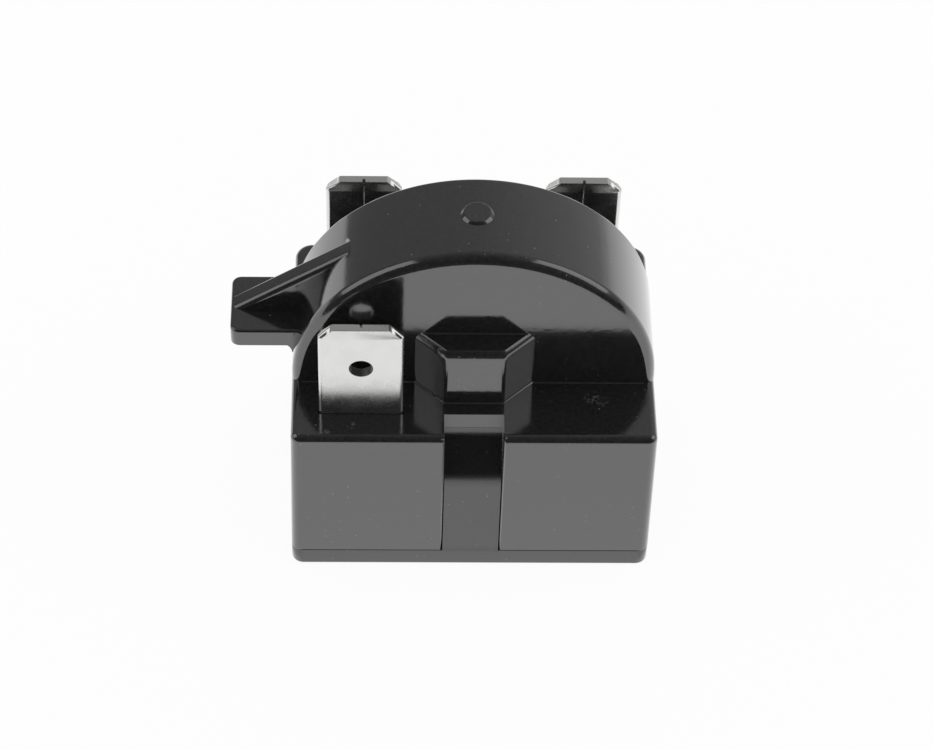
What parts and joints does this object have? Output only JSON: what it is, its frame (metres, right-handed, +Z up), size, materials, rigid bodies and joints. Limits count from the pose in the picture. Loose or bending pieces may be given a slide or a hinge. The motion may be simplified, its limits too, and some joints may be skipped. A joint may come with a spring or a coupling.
{
  "type": "compressor start relay",
  "caption": "Plug-on PTC starting relay for a hermetic compressor: a moulded block with a round hump for the disc, a side arm, spade tabs on top and pin sockets behind its clip-in cover",
  "frame": {"origin": "middle of the moulded block's underside, where the cover meets the compressor's terminals", "axes": "+Z up out of the compressor, -Y to the face with the single spade tab, +X away from the side arm"},
  "size_m": [0.0321, 0.0202, 0.0295],
  "materials": {
    "housing_plastic": "glossy black moulded plastic",
    "cover_plastic": "satin black moulded plastic",
    "tin_plate": "tin-plated stamped sheet",
    "spring_steel": "bare spring steel",
    "disc_ceramic": "ceramic with silvered faces"
  },
  "bodies": {
    "root": {"housing": "housing_plastic", "bottom_cover": "cover_plastic", "common_terminal": "tin_plate", "start_terminal": "tin_plate", "run_terminal": "tin_plate", "common_socket_clip": "spring_steel", "start_socket_clip": "spring_steel", "run_socket_clip": "spring_steel", "ptc_disc": "disc_ceramic", "start_contact_spring": "spring_steel", "run_contact_spring": "spring_steel"}
  },
  "joints": []
}
